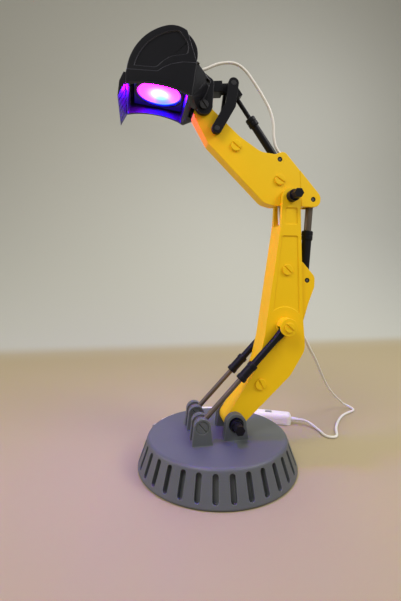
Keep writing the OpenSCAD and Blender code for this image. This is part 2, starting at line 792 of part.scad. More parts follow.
// Bucket linkage
module rocker_outline() {
    for (p = [rocker_low, rocker_bend, rocker_top])
        spot(p, rocker_w / 2);
    strip(rocker_low, rocker_bend, rocker_w);
    strip(rocker_bend, rocker_top, rocker_w);
}
module rocker() {
    difference() {
        slab(-rocker_out, -rocker_in) rocker_outline();
        bar_y(rocker_low, pin_r + fit, -rocker_out - 1, 0);
        bar_y(rocker_top, pin_r + fit, -rocker_out - 1, 0);
    }
}
module rocker_near() {
    color([0.13, 0.13, 0.15]) rocker();
}
module rocker_far() {
    color([0.13, 0.13, 0.15]) mirror([0, 1, 0]) rocker();
}
module rocker_top_pin() {
    color([0.16, 0.16, 0.17]) bar_y(rocker_top, pin_r, -rocker_out, rocker_out);
}
module bucket_link() {
    color([0.13, 0.13, 0.15])
        along(rocker_top, bucket_link_pin, 0)
            difference() {
                union() {
                    rotate([90, 0, 0]) cylinder(r = link_h / 2 - 0.6, h = 2 * tongue_half, center = true);
                    translate([0, -tongue_half, 0.6 - link_h / 2])
                        cube([link_l, 2 * tongue_half, link_h - 1.2]);
                    translate([10, -link_w / 2, -link_h / 2]) cube([link_l - 10, link_w, link_h]);
                    translate([link_l, 0, 0])
                        rotate([90, 0, 0])
                            cylinder(r = link_h / 2, h = link_w, center = true);
                }
                rotate([90, 0, 0]) cylinder(r = pin_r + fit, h = 2 * link_w, center = true);
                translate([link_l, 0, 0])
                    rotate([90, 0, 0])
                        cylinder(r = pin_r + open_gap, h = 2 * link_w, center = true);
            }
}

// Bucket cylinder: barrel in the stick, forked rod on the rockers' pin
module bucket_barrel() {
    color([0.13, 0.13, 0.15])
        along(bucket_cyl_low, rocker_top, 0)
            difference() {
                union() {
                    rotate([90, 0, 0]) cylinder(r = bucket_eye_r, h = 2 * bucket_barrel_r, center = true);
                    rod_x(bucket_barrel_r, 2, bucket_gland_at);
                }
                rod_x(bucket_rod_r + 2 * bore_gap, bore_bottom, bucket_gland_at + 1);
                rotate([90, 0, 0]) cylinder(r = pin_r + fit, h = 4 * bucket_barrel_r, center = true);
            }
}
module bucket_gland() {
    color([0.13, 0.13, 0.15])
        gland(bucket_cyl_low, rocker_top, 0, bucket_gland_r, bucket_rod_r + fit, bucket_gland_at,
            bucket_gland_l);
}
module bucket_rod() {
    arm_out = stick_half - 0.4;
    color([0.13, 0.13, 0.15])
        along(bucket_cyl_low, rocker_top, 0)
            difference() {
                union() {
                    rod_x(bucket_rod_r, bucket_rod_in, bucket_cyl_l - 10);
                    for (s = [-1, 1])
                        translate([0, s * (arm_out + fork_inner) / 2, 0]) {
                            translate([bucket_cyl_l, 0, 0])
                                rotate([90, 0, 0])
                                    cylinder(r = fork_eye_r, h = arm_out - fork_inner, center = true);
                            translate([bucket_cyl_l - 6, 0, 0])
                                cube([12, arm_out - fork_inner, 2 * fork_eye_r - 1], center = true);
                        }
                    translate([bucket_cyl_l - 11, 0, 0])
                        cube([4, 2 * arm_out, 2 * fork_eye_r - 1], center = true);
                }
                translate([bucket_cyl_l, 0, 0])
                    rotate([90, 0, 0])
                        cylinder(r = pin_r + rod_slack, h = 4 * arm_out, center = true);
            }
}

// Bucket: outline grown or shrunk by d, then the shell and its ears
module bucket_outline(d) {
    difference() {
        union() {
            intersection() {
                spot(lobe_at, lobe_r + 1.7 * d);
                translate([lobe_front - 1, lobe_at.y - 2 * lobe_r]) square(4 * lobe_r);
            }
            intersection() {
                spot(bucket_arc_at, bucket_arc_r + d);
                translate([lobe_front - 4 * bucket_arc_r, bucket_arc_at.y - 2 * bucket_arc_r])
                    square(4 * bucket_arc_r);
            }
            polygon([[lip_low.x - d, mouth_at.y], lip_low - [d, 0], lip_high - [d, 0], lip_top - [d, 0],
                [lobe_front - 1, lip_top.y], [lobe_front - 1, mouth_at.y]]);
            polygon([[lobe_front - 2, mouth_at.y], [lobe_front - 2, lobe_at.y], back_edge[0] + [d, d],
                back_edge[1] + [d, 0], back_edge[2] + [d, 0], back_edge[3] + [d, 0]]);
        }
        spot(mouth_at, mouth_r);
    }
}
module bucket_side_panel() {
    intersection() {
        spot(bucket_arc_at, bucket_arc_r - bucket_band);
        polygon(rounded(side_panel_edge));
    }
}
module bucket_band_cut() {
    intersection() {
        bucket_outline(4);
        polygon(band_edge);
    }
}
module hinge_ear() {
    spot(bucket_pivot, ear_pivot_r);
    spot(bucket_link_pin, ear_link_r);
    polygon([bucket_pivot + [ear_pivot_r - 0.1, 1], bucket_link_pin + [ear_link_r - 0.1, 1],
        bucket_link_pin + [4.6, 5], bucket_link_pin + ear_web_high, bucket_pivot + ear_web_low,
        bucket_pivot + [-ear_pivot_r, -1]]);
}
module bucket_shell() {
    inner = bucket_half - bucket_wall;
    color([0.13, 0.13, 0.15])
        difference() {
            union() {
                slab(-bucket_half, bucket_half)
                    difference() {
                        bucket_outline(0);
                        translate([rear_wall, rear_cut_at]) square(rear_cut);
                    }
                for (s = [-1, 1])
                    hull() {
                        translate([0, s * (bucket_half - 1.5), 0])
                            slab(-1.5, 1.5) polygon(ear_root);
                        translate([0, s * (hinge_out - 1), 0])
                            slab(-1, 1) polygon(ear_tip);
                    }
                slab(-hinge_out, hinge_out)
                    difference() {
                        bucket_outline(0);
                        translate([rear_wall + bucket_wall, rear_cut_at]) square(web_cut);
                    }
                both() slab(-hinge_out, -hinge_in) hinge_ear();
            }
            slab(-inner, inner)
                difference() {
                    bucket_outline(-bucket_wall);
                    translate([rear_wall - bucket_wall, back_cut_at]) square(back_cut);
                }
            slab(-inner, inner)
                polygon([lip_low + [lip_edge, -5], lip_low + [lip_edge, 0], lip_high + [bucket_wall, 2],
                    lip_high + [bucket_wall + 5, 2], lip_low + [bucket_wall + 5, -5]]);
            both() {
                slab(-bucket_half - 1, -bucket_half + 0.8) bucket_band_cut();
                slab(-bucket_half - 1, -bucket_half + 0.8 + bucket_panel) bucket_side_panel();
                slab(-bucket_half - 1, -bucket_half + rear_step)
                    polygon([rear_low, rear_high, rear_high + [0, 20], rear_low + [30, 20]]);
            }
            slab(-hinge_in, hinge_in) {
                spot(bucket_pivot, nose_clear);
                strip(bucket_pivot, bucket_pivot + [30, -40], 2 * nose_clear);
                spot(bucket_link_pin, link_h / 2 + 2.5);
                strip(bucket_link_pin, rocker_top, link_h + 5);
                strip(bucket_link_pin, bucket_pivot, 16);
                strip(bucket_link_pin, bucket_link_pin + [20, 16], 12);
            }
            bar_y(bucket_pivot, hinge_r + fit, -bucket_w, bucket_w);
            both() bar_y(bucket_pivot, hinge_head_r + 1.2, -bucket_w, -hinge_out);
            bar_y(bucket_link_pin, pin_r + fit, -bucket_w, bucket_w);
            translate(loop_route[0] - [8, 0, 3]) rotate([0, 68, 0]) cylinder(r = channel_r, h = 12);
        }
}
module lip_profile() {
    polygon([lip_low, lip_high, lip_high + [-1.8, 0.4], [lip_tip.x + 1.5, lip_low.y + 1], lip_tip]);
}
module bucket_lip() {
    n = unit([lip_low.y - lip_tip.y, lip_tip.x - lip_low.x]) * -1;
    pitch = bucket_w / tooth_count;
    color([0.13, 0.13, 0.15])
        difference() {
            slab(-bucket_half, bucket_half) lip_profile();
            for (i = [1 : tooth_count - 1])
                slab(-bucket_half + i * pitch - 0.8, -bucket_half + i * pitch + 0.8)
                    polygon([lip_low - n, lip_tip - n * 2, lip_tip - [2, 4], lip_low + n * tooth_groove]);
        }
}
module bucket_link_pin() {
    color([0.16, 0.16, 0.17]) bar_y(bucket_link_pin, pin_r, -hinge_out, hinge_out);
}

// Light in the bucket: plate, cup, board and diffuser, facing out of the mouth
module in_mouth() {
    translate(lamp_at) rotate([0, mouth_tilt, 0]) children();
}
module lamp_plate() {
    half = bucket_half - bucket_wall - side_gap;
    color([0.13, 0.13, 0.15])
        in_mouth()
            difference() {
                translate([plate_front, -half, 0]) cube([plate_rear - plate_front, 2 * half, plate_t]);
                translate([0, 0, -1]) cylinder(r = lamp_r + fit, h = plate_t + 2, $fn = 96);
            }
}
module lamp_cup() {
    color([0.08, 0.08, 0.09])
        in_mouth()
            difference() {
                union() {
                    cylinder(r = lamp_r, h = lamp_h, $fn = 96);
                    translate([0, 0, -flange_t]) cylinder(r = lamp_r + 1.2, h = flange_t, $fn = 96);
                }
                translate([0, 0, -2]) cylinder(r = lamp_r - lamp_wall, h = lamp_h + 2 - lamp_wall, $fn = 96);
                translate([lamp_r - 6, 0, 0]) cylinder(r = channel_r, h = lamp_h + 1);
            }
}
module lamp_board() {
    color("white")
        in_mouth()
            translate([0, 0, lamp_h - lamp_wall - board_t])
                cylinder(r = lamp_r - lamp_wall - 0.1, h = board_t, $fn = 96);
}
module lamp_diffuser() {
    r = lamp_r - lamp_wall - 0.1;
    color("violet")
        in_mouth()
            difference() {
                cylinder(r = r, h = lamp_h - lamp_wall - board_t, $fn = 96);
                translate([0, 0, 1.6]) cylinder(r = r - 1.2, h = lamp_h, $fn = 96);
            }
}

// Cord: loop over the linkage, runs inside the arm, drop to the table
module cord_loop() {
    color("white") tube(spline(loop_route, 2), cord_r, 8, [0, 1, 0]);
}
module cord_stick() {
    color("white") tube(spline(stick_run, 2), cord_r, 8, [0, 1, 0]);
}
module cord_boom() {
    color("white") tube(spline(concat(boom_run, [drop_route[0] - [0.6, 0, -0.5]]), 2), cord_r, 8, [0, 1, 0]);
}
module cord_drop() {
    ends = [switch_start - 2 * cord_d * switch_dir, switch_start - cord_end_gap * switch_dir];
    color("white") tube(spline(concat(drop_route, ends), 2), cord_r, 8, [0, 0, 1]);
}

// Switch on the cord: base, cover, button and two tapered reliefs
module in_switch() {
    translate(switch_at) rotate([0, 0, switch_turn]) children();
}
module switch_body() {
    intersection() {
        linear_extrude(height = switch_h)
            polygon(rounded([[-switch_l / 2, -switch_w / 2, 7], [switch_l / 2, -switch_w / 2, 7],
                [switch_l / 2, switch_w / 2, 7], [-switch_l / 2, switch_w / 2, 7]]));
        slab(-switch_w, switch_w)
            polygon(rounded([[-switch_l / 2, 0, 1.5], [switch_l / 2, 0, 1.5], [switch_l / 2, switch_h, 6],
                [-switch_l / 2, switch_h, 6]]));
        rotate([0, 0, 90])
            slab(-switch_l, switch_l)
                polygon(rounded([[-switch_w / 2, 0, 1.5], [switch_w / 2, 0, 1.5], [switch_w / 2, switch_h, 5],
                    [-switch_w / 2, switch_h, 5]]));
    }
}
module switch_base() {
    color("white")
        in_switch()
            intersection() {
                switch_body();
                translate([-50, -50, -1]) cube([100, 100, switch_split + 1]);
            }
}
module switch_cover() {
    color("white")
        in_switch()
            difference() {
                switch_body();
                translate([-50, -50, -1]) cube([100, 100, switch_split + 1]);
                translate([-button_l / 2 - side_gap, -button_w / 2 - side_gap, switch_h - 3])
                    cube([button_l + 2 * side_gap, button_w + 2 * side_gap, 10]);
            }
}
module switch_button() {
    color("lightgray")
        in_switch()
            translate([-button_l / 2, -button_w / 2, switch_h + button_rise - 2.4])
                cube([button_l, button_w, 2.4]);
}
module switch_reliefs() {
    color("white")
        in_switch()
            for (s = [-1, 1])
                translate([s * switch_l / 2, 0, switch_split])
                    rotate([0, s * 90, 0])
                        cylinder(r1 = cord_r + 1.3, r2 = cord_r + 0.4, h = relief_l);
}

// Put-away cord: lead from the switch, coil of two layers, lead to the plug
function coil_point(turns) = let (
        r = coil_r + coil_step * abs(turns - coil_loops - 0.25),
        climb = max(0, min(1, 2 * (turns - coil_loops))), a = coil_turn + 360 * turns)
    [coil_at.x + r * cos(a), coil_at.y + r * sin(a), coil_low + (coil_high - coil_low) * climb];
coil_points = [for (i = [0 : 24 * coil_turns]) coil_point(i / 24)];
lead_in = [switch_end, switch_end + 2 * cord_d * switch_dir, [44.8, 111.2, 5], [41.4, 116.1, 3.2],
    [38.6, 121.4, 2], [34.7, 126, coil_low], [29.6, 129.2, coil_low]];
lead_out = [[13.3, 136.4, 5], [6, 137.2, 4.2], [-1, 135.7, 3], [-6.8, 132, 2.2], [-11.4, 126.6, 2.2],
    [-15, 120.9, 3], plug_at - 5 * plug_dir, plug_at];
coil_path = concat(lead_in, coil_points, lead_out);
coil_gap = min([for (i = [0 : len(coil_points) - 1]) for (j = [i + 12 : 1 : len(coil_points) - 1])
    norm(coil_points[i] - coil_points[j])]) - cord_d;
echo(coil_gap = coil_gap);
module cord_coil() {
    color("white") tube(coil_path, cord_r, 6, [0, 0, 1]);
}

// Plug: moulded grip, metal shell and the tongue inside it
module in_plug() {
    translate(plug_at) rotate([0, 0, plug_turn]) children();
}
module plug_body() {
    color("white")
        in_plug()
            union() {
                rotate([0, 90, 0]) cylinder(r1 = cord_r + 0.4, r2 = cord_r + 1.4, h = 7);
                translate([6, 0, -plug_t / 2])
                    linear_extrude(height = plug_t)
                        polygon(rounded([[0, -plug_w / 2, 2.5], [plug_l, -plug_w / 2, 1],
                            [plug_l, plug_w / 2, 1], [0, plug_w / 2, 2.5]]));
            }
}
module plug_shell() {
    color("silver")
        in_plug()
            translate([6 + plug_l, -usb_w / 2, -usb_t / 2])
                difference() {
                    cube([usb_l, usb_w, usb_t]);
                    translate([1, 0.4, 0.4]) cube([usb_l, usb_w - 0.8, usb_t - 0.8]);
                }
}
module plug_tongue() {
    color("white")
        in_plug()
            translate([7 + plug_l, -usb_w / 2 + 0.6, usb_t / 2 - 2.3])
                cube([usb_l - 2.4, usb_w - 1.2, 1.8]);
}

base_housing();
base_cover();
grip_pad();
cover_screws();
boom_pivot_bolt();
boom_pivot_nut();
rod_pin_screws();
boom_near();
boom_far();
boom_screws();
barrel_pin_screws();
boom_lug_pin();
stick_pivot_bolt();
stick_pivot_nut();
boom_barrel_near();
boom_gland_near();
boom_rod_near();
boom_barrel_far();
boom_gland_far();
boom_rod_far();
stick_barrel();
stick_gland();
stick_rod();
stick_near();
stick_far();
stick_screws();
stick_tail_pin();
bucket_barrel_pin();
rocker_pin();
bucket_pin();
rocker_near();
rocker_far();
rocker_top_pin();
bucket_link();
bucket_barrel();
bucket_gland();
bucket_rod();
bucket_shell();
bucket_lip();
bucket_link_pin();
lamp_plate();
lamp_cup();
lamp_board();
lamp_diffuser();
cord_loop();
cord_stick();
cord_boom();
cord_drop();
switch_base();
switch_cover();
switch_button();
switch_reliefs();
cord_coil();
plug_body();
plug_shell();
plug_tongue();
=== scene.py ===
import json
import math

import bmesh
import bpy
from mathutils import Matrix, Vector


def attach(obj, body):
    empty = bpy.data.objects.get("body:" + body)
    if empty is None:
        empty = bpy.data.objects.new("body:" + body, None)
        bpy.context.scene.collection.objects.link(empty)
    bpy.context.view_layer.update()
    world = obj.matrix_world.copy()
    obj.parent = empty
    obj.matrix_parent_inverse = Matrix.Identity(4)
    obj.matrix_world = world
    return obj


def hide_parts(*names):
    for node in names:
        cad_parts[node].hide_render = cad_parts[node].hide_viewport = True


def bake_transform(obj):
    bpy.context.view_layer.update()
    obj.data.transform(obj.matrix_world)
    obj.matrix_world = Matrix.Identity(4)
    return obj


# Table lamp in the shape of an excavator arm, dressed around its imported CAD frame.
# Everything is in metres, in the frame's own axes: +Z up, the bucket reaching towards -X.
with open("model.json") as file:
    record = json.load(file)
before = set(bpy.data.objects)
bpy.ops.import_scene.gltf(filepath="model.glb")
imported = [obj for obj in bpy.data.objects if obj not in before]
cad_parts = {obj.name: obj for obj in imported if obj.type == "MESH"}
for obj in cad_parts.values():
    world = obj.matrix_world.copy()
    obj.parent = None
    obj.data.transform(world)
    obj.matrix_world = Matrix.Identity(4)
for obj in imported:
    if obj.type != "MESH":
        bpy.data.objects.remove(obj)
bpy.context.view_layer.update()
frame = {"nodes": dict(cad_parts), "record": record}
scene = bpy.context.scene
scene.view_settings.view_transform = "Standard"

# Camera: a phone's wide lens, held level and close, turned ten degrees to the arm.
# Its optical axis lies a little above the middle of the picture, which the shift gives.
PICTURE_H = 601
FOCAL_PX = 355
AXIS_PX = 277.5
SENSOR = 36
CAMERA_AT = (-0.0800, -0.3565, 0.1890)
CAMERA_TURN = math.radians(-10)
camera_data = bpy.data.cameras.new("camera")
camera_data.sensor_width = SENSOR
camera_data.lens = SENSOR * FOCAL_PX / PICTURE_H
camera_data.shift_y = (AXIS_PX - PICTURE_H / 2) / PICTURE_H
camera = bpy.data.objects.new("camera", camera_data)
camera.location = CAMERA_AT
camera.rotation_euler = (math.radians(90), 0, CAMERA_TURN)
scene.collection.objects.link(camera)
scene.camera = camera

# Cord: two thin cores in a round white PVC sheath, 3 mm thick. It leaves the back of the bucket,
# bows over the linkage into the stick, runs down inside the arm and drops from the boom to the table.
# Its routes, and the sizes of the coil, the tie and the pins, are typed in millimetres.
MM = 0.001
CORD_D = 0.003
CORD_SIDES = 16
ROUTE_STEPS = 6
WAVE_PERIOD = math.pi / 10  # length after which Blender's wave texture repeats at scale 1
SHEEN_SPREAD = 0.06
# Painted highlight along edges: its width, and the cosines of its turn at which it begins and is full
PAINTED_HIGHLIGHT_MM = 0.9
PAINTED_HIGHLIGHT_FROM = 0.995
PAINTED_HIGHLIGHT_FULL = 0.85


def linear(hex_colour):
    """An sRGB hex colour as the linear colour that a socket takes."""
    parts = [int(hex_colour[i:i + 2], 16) / 255 for i in (1, 3, 5)]
    return tuple(p / 12.92 if p <= 0.04045 else ((p + 0.055) / 1.055) ** 2.4 for p in parts) + (1.0,)


def add(tree, kind, values=(), links=(), **settings):
    """Adds one node; values and links give each named or numbered input what it gets."""
    made = tree.nodes.new(kind)
    for key, value in settings.items():
        setattr(made, key, value)
    for key, value in dict(values).items():
        made.inputs[key].default_value = value
    for key, source in dict(links).items():
        tree.links.new(source, made.inputs[key])
    return made


def bare(name):
    """A new material, its tree, and the Object coordinates that its patterns are laid in."""
    material = bpy.data.materials.new(name)
    material.use_nodes = True
    tree = material.node_tree
    tree.nodes.clear()
    return material, tree, add(tree, "ShaderNodeTexCoord").outputs["Object"]


def plastic(name, light, dark, roughness, cloud_mm, grain_mm, grain_depth_mm, layer=None, layer_mm=1.0,
            layer_depth_mm=0.0, turn=(0, 0, 0), shine=0.5, painted_highlight=None):
    """A moulded or printed plastic: a cloudy tone and a fine grain, with an optional painted highlight along
    its edges and the print's layers if it has them."""
    material, tree, place = bare(name)
    cloud = add(tree, "ShaderNodeTexNoise", {"Scale": 1 / (cloud_mm * MM), "Detail": 4.0},
                {"Vector": place})
    tone = add(tree, "ShaderNodeMix", {6: linear(light), 7: linear(dark)}, {0: cloud.outputs["Fac"]},
               data_type="RGBA").outputs[2]
    # Painted highlight: near an edge, where the rounded normal turns from the face's own, the tone is mixed
    # towards a paler colour
    if painted_highlight:
        smoothed = add(tree, "ShaderNodeBevel", {"Radius": PAINTED_HIGHLIGHT_MM * MM}, samples=8).outputs["Normal"]
        flat = add(tree, "ShaderNodeNewGeometry").outputs["True Normal"]
        turned_away = add(tree, "ShaderNodeVectorMath", (), {0: smoothed, 1: flat},
                          operation="DOT_PRODUCT")
        highlight_share = add(tree, "ShaderNodeMapRange", {"From Min": PAINTED_HIGHLIGHT_FROM, "From Max": PAINTED_HIGHLIGHT_FULL},
                      {"Value": turned_away.outputs["Value"]})
        tone = add(tree, "ShaderNodeMix", {7: linear(painted_highlight)}, {0: highlight_share.outputs["Result"], 6: tone},
                   data_type="RGBA").outputs[2]
    grain = add(tree, "ShaderNodeTexNoise", {"Scale": 1 / (grain_mm * MM), "Detail": 2.0},
                {"Vector": place})
    worn = add(tree, "ShaderNodeMapRange",
               {"To Min": roughness - SHEEN_SPREAD, "To Max": roughness + SHEEN_SPREAD},
               {"Value": grain.outputs["Fac"]})
    normal = add(tree, "ShaderNodeBump", {"Strength": 1.0, "Distance": grain_depth_mm * MM},
                 {"Height": grain.outputs["Fac"]}).outputs["Normal"]
    if layer:
        turned = add(tree, "ShaderNodeMapping", {"Rotation": [math.radians(a) for a in turn]},
                     {"Vector": place})
        lines = add(tree, "ShaderNodeTexWave", {"Scale": WAVE_PERIOD / (layer_mm * MM), "Distortion": 0.6,
                                                "Detail": 1.0, "Detail Scale": 0.4},
                    {"Vector": turned.outputs["Vector"]}, bands_direction=layer)
        normal = add(tree, "ShaderNodeBump", {"Strength": 1.0, "Distance": layer_depth_mm * MM},
                     {"Height": lines.outputs["Fac"], "Normal": normal}).outputs["Normal"]
    surface = add(tree, "ShaderNodeBsdfPrincipled", {"IOR": 1.5, "Specular IOR Level": shine},
                  {"Base Color": tone, "Roughness": worn.outputs["Result"], "Normal": normal})
    add(tree, "ShaderNodeOutputMaterial", (), {"Surface": surface.outputs["BSDF"]})
    return material


# Soft PVC: matt to satin, a warm white that dulls a little along its length
pvc_white = plastic("pvc_sheath_white", "#edebe6", "#dad7d1", roughness=0.42, cloud_mm=40, grain_mm=1.5,
                    grain_depth_mm=0.02)


def spline(points, steps):
    """A smooth line through the points, the same one that the CAD cord follows, in metres."""
    way = [Vector(p) * MM for p in points]
    last = len(way) - 1
    line = []
    for i in range(last):
        a, b, c, d = way[max(i - 1, 0)], way[i], way[i + 1], way[min(i + 2, last)]
        for j in range(steps):
            t = j / steps
            line.append(b + (c - a) * t / 2 + (2 * a - 5 * b + 4 * c - d) * t * t / 2
                        + (3 * b - a - 3 * c + d) * t ** 3 / 2)
    return line + [way[last]]


# Tree that sweeps a round section along a line of edges
sheath_tree = bpy.data.node_groups.new("sheath_along_a_line", "GeometryNodeTree")
for socket_name, socket_kind in (("Line", "NodeSocketGeometry"), ("Diameter", "NodeSocketFloat"),
                                 ("Sides", "NodeSocketInt"), ("Finish", "NodeSocketMaterial")):
    sheath_tree.interface.new_socket(socket_name, in_out="INPUT", socket_type=socket_kind)
sheath_tree.interface.new_socket("Piece", in_out="OUTPUT", socket_type="NodeSocketGeometry")
given = add(sheath_tree, "NodeGroupInput").outputs
half = add(sheath_tree, "ShaderNodeMath", {1: 0.5}, {0: given["Diameter"]}, operation="MULTIPLY")
ring = add(sheath_tree, "GeometryNodeCurvePrimitiveCircle", (),
           {"Resolution": given["Sides"], "Radius": half.outputs["Value"]})
line_curve = add(sheath_tree, "GeometryNodeMeshToCurve", (), {"Mesh": given["Line"]})
swept = add(sheath_tree, "GeometryNodeCurveToMesh", {"Fill Caps": True},
            {"Curve": line_curve.outputs["Curve"], "Profile Curve": ring.outputs["Curve"]})
smooth = add(sheath_tree, "GeometryNodeSetShadeSmooth", (), {"Geometry": swept.outputs["Mesh"]})
whole = add(sheath_tree, "GeometryNodeRealizeInstances", (), {"Geometry": smooth.outputs["Geometry"]})
painted = add(sheath_tree, "GeometryNodeSetMaterial", (),
              {"Geometry": whole.outputs["Geometry"], "Material": given["Finish"]})
add(sheath_tree, "NodeGroupOutput", (), {"Piece": painted.outputs["Geometry"]})


def grown(name, guide_mesh, tree, sizes):
    """What a Geometry Nodes tree makes of a guide mesh, as a plain mesh object at the origin."""
    guide = bpy.data.objects.new(name + "_guide", guide_mesh)
    scene.collection.objects.link(guide)
    grow = guide.modifiers.new("grow", "NODES")
    grow.node_group = tree
    for item in tree.interface.items_tree:
        if item.in_out == "INPUT" and item.name in sizes:
            grow[item.identifier] = sizes[item.name]
    depsgraph = bpy.context.evaluated_depsgraph_get()
    mesh = bpy.data.meshes.new_from_object(guide.evaluated_get(depsgraph), depsgraph=depsgraph)
    bpy.data.objects.remove(guide)
    piece = bpy.data.objects.new(name, mesh)
    scene.collection.objects.link(piece)
    return piece


def cord_piece(name, line):
    """A round length of cord along a line of points."""
    guide_mesh = bpy.data.meshes.new(name + "_line")
    guide_mesh.from_pydata(line, [(i, i + 1) for i in range(len(line) - 1)], [])
    return grown(name, guide_mesh, sheath_tree,
                 {"Diameter": CORD_D, "Sides": CORD_SIDES, "Finish": pvc_white})


LOOP_ROUTE = [(-24.2, 0, 397), (-12, 0, 402), (0, 0, 408), (12, 0, 411), (22, 0, 410), (31, 0, 404),
              (40, 0, 393), (49, 0, 380), (57, 0, 366), (61, 0, 352), (61.5, 0, 338), (64, 0, 327),
              (69, 0, 320), (73.2, 0, 315.5)]
loop_line = spline(LOOP_ROUTE, ROUTE_STEPS)
loop = cord_piece("cord_over_linkage", loop_line)
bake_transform(loop)
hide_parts("cord_loop")

STICK_RUN = [(75, 0, 313.5), (78, 0, 304), (74, 0, 290), (68.5, 0, 278), (67.5, 0, 263.3)]
in_stick = cord_piece("cord_in_stick", spline(STICK_RUN, ROUTE_STEPS))
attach(in_stick, "stick")
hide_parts("cord_stick")

BOOM_RUN = [(67.6, 0, 263), (68.4, 0, 246), (73, 0, 226), (79, 0, 198), (80, 0, 168), (83, 0, 144),
            (87.5, 0, 135.5), (89.4, 0, 134.1)]
in_boom = cord_piece("cord_in_boom", spline(BOOM_RUN, ROUTE_STEPS))
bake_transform(in_boom)
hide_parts("cord_boom")

# The switch stands on the table behind the arm, turned to the cord that comes down to it and runs
# on inside it for a little way
SWITCH_AT = Vector((89.1, 88.4, 6))
SWITCH_TURN = math.radians(154.5)
SWITCH_REACH = 38
SWITCH_LEAD = 6
SWITCH_INSIDE = 14
switch_way = Vector((math.cos(SWITCH_TURN), math.sin(SWITCH_TURN), 0))
switch_start = SWITCH_AT - SWITCH_REACH * switch_way
switch_end = SWITCH_AT + SWITCH_REACH * switch_way
DROP_ROUTE = [(90, 0, 133.6), (96, 1.5, 126), (104, 5.5, 113.5), (115.9, 14, 98), (127.7, 25.5, 82.4),
              (142.5, 41, 64), (157.7, 57, 48.6), (174.6, 74, 34), (189, 88.6, 23.4), (199.4, 100, 16.2),
              (204.2, 105.4, 12.6), (208.7, 109.9, 9.2), (213.4, 112.3, 6.2), (218.4, 111.2, 3.8),
              (221.4, 107, 2.4), (221, 101.9, 1.7), (217.6, 98.2, 1.6), (212.4, 95.6, 1.6),
              (205, 91.9, 1.6), (195.3, 86, 1.6), (185.5, 77.4, 1.6), (177.7, 68.8, 1.6), (170.6, 60, 1.6),
              (164.4, 51.4, 1.6), (159.4, 42.9, 1.6), (156.3, 36.9, 1.6), (153.1, 31.2, 1.6),
              (149.4, 27.6, 1.6), (144.3, 27, 1.6), (140.1, 29.9, 1.6), (138.5, 34.9, 1.6),
              (138.7, 41.2, 1.6), (138.9, 47.6, 1.6), (138.4, 53.8, 1.9), (136.8, 59.8, 3), (134, 65.2, 4.4),
              switch_start - SWITCH_LEAD * switch_way, switch_start,
              switch_start + SWITCH_INSIDE / 2 * switch_way, switch_start + SWITCH_INSIDE * switch_way]
drop_line = spline(DROP_ROUTE, ROUTE_STEPS)
drop = cord_piece("cord_to_switch", drop_line)
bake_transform(drop)
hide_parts("cord_drop")

# The rest of the cord, from the switch to the plug, is put away behind the base in a flat coil of
# seven turns, wound inwards on the table and outwards on top, and held by a paper twist tie.
COIL_AT = Vector((14, 110))
COIL_FROM = 75
COIL_TURNS = 7
COIL_MIDDLE = 3.25
COIL_R = 11.6
COIL_STEP = 3.6
COIL_LOW = 1.6
PER_TURN = 24
COIL_STEPS = 2
PLUG_AT = Vector((-23, 113, 4.1))
PLUG_TURN = math.radians(220)
PLUG_LEAD = 5
plug_way = Vector((math.cos(PLUG_TURN), math.sin(PLUG_TURN), 0))


def coil_point(turns):
    """A point of the coil after so many turns; at the middle turn it climbs onto the lower layer."""
    angle = math.radians(COIL_FROM + 360 * turns)
    r = COIL_R + COIL_STEP * abs(turns - COIL_MIDDLE)
    rise = min(max(2 * (turns - COIL_MIDDLE) + 0.5, 0), 1)
    return COIL_AT.x + r * math.cos(angle), COIL_AT.y + r * math.sin(angle), COIL_LOW + COIL_STEP * rise


coil_points = [coil_point(i / PER_TURN) for i in range(COIL_TURNS * PER_TURN + 1)]
lead_in = [switch_end, switch_end + SWITCH_LEAD * switch_way, (44.8, 111.2, 5), (41.4, 116.1, 3.2),
           (38.6, 121.4, 2), (34.7, 126, 1.6), (29.6, 129.2, 1.6)]
lead_out = [(13.3, 136.4, 5), (6, 137.2, 4.2), (-1, 135.7, 3), (-6.8, 132, 2.2), (-11.4, 126.6, 2.2),
            (-15, 120.9, 3), PLUG_AT - PLUG_LEAD * plug_way, PLUG_AT]
coil_line = spline(lead_in + coil_points + lead_out, COIL_STEPS)
coil = cord_piece("cord_coiled_away", coil_line)
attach(coil, "base")
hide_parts("cord_coil")

# The tie goes round the coil's left side, pulled flat under the cord; its loop is given in x and z
TIE_W = 4.0
TIE_THICK = 0.15
TIE_LOOP = [(-25, 0.16), (-18, 0.16), (-10.4, 0.16), (-9.4, 0.6), (-8.9, 3.4), (-9.4, 6.4), (-11, 7.1),
            (-18, 7.3), (-24.6, 7.1), (-26.4, 6.2), (-27, 3.4), (-26.6, 0.6)]
ribbon = bmesh.new()
rails = [[ribbon.verts.new(((COIL_AT.x + x) * MM, (COIL_AT.y + across) * MM, z * MM)) for x, z in TIE_LOOP]
         for across in (-TIE_W / 2, TIE_W / 2)]
for i in range(len(TIE_LOOP)):
    j = (i + 1) % len(TIE_LOOP)
    ribbon.faces.new((rails[0][i], rails[0][j], rails[1][j], rails[1][i]))
bmesh.ops.recalc_face_normals(ribbon, faces=ribbon.faces)
tie_mesh = bpy.data.meshes.new("twist_tie")
ribbon.to_mesh(tie_mesh)
ribbon.free()
tie = bpy.data.objects.new("twist_tie", tie_mesh)
scene.collection.objects.link(tie)
paper = tie.modifiers.new("paper", "SOLIDIFY")
paper.thickness = TIE_THICK * MM
paper.offset = 1.0
curl = tie.modifiers.new("curl", "SUBSURF")
curl.levels = curl.render_levels = 2
# Waxed paper: matt, with a soft fibre
paper_black = plastic("waxed_paper_black", "#2a2a2d", "#1c1c1f", roughness=0.62, cloud_mm=6, grain_mm=0.5,
                      grain_depth_mm=0.02)
tie.data.materials.append(paper_black)
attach(tie, "base")

